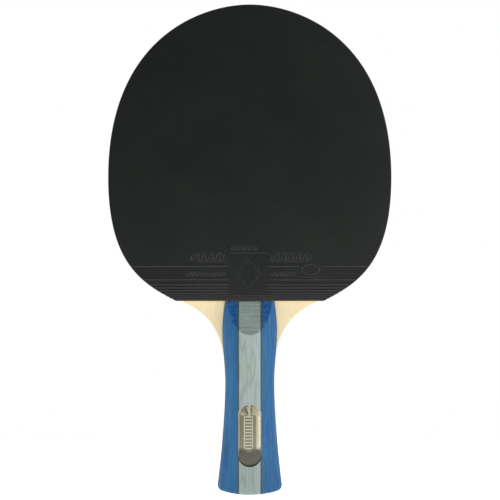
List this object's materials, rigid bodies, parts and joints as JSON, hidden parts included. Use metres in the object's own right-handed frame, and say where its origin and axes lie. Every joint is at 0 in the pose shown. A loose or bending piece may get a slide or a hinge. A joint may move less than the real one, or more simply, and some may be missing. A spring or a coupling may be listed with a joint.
{
  "type": "table tennis paddle",
  "caption": "Shakehand table tennis paddle: five-ply wooden blade, sponge and pimples-in rubber on each face, flared striped handle scales and an inset badge.",
  "frame": {"origin": "middle of the grip's length, on the blade's mid-plane", "axes": "+Z along the handle to the head, -Y out of the black front face, +X across the width"},
  "size_m": [0.15, 0.0246, 0.2595],
  "materials": {
    "black_rubber": "matt black rubber with a slight sheen",
    "red_rubber": "matt red rubber with a slight sheen",
    "sponge": "cream closed-cell sponge",
    "light_wood": "bare pale wood, fine straight grain",
    "blue_wood": "blue dyed wood, satin",
    "grey_wood": "grey dyed wood, satin",
    "black_veneer": "black dyed veneer",
    "badge_metal": "satin champagne metal",
    "badge_clear": "clear gloss resin dome"
  },
  "bodies": {
    "root": {"front_outer_ply": "light_wood", "front_medial_ply": "light_wood", "core_ply": "light_wood", "back_medial_ply": "light_wood", "back_outer_ply": "light_wood", "front_sponge": "sponge", "front_topsheet": "black_rubber", "front_left_side_strip": "blue_wood", "front_left_veneer": "black_veneer", "front_centre_strip": "grey_wood", "front_right_veneer": "black_veneer", "front_right_side_strip": "blue_wood", "back_sponge": "sponge", "back_topsheet": "red_rubber", "back_left_side_strip": "blue_wood", "back_left_veneer": "black_veneer", "back_centre_strip": "grey_wood", "back_right_veneer": "black_veneer", "back_right_side_strip": "blue_wood", "badge_plate": "badge_metal", "badge_lens": "badge_clear"}
  },
  "joints": []
}
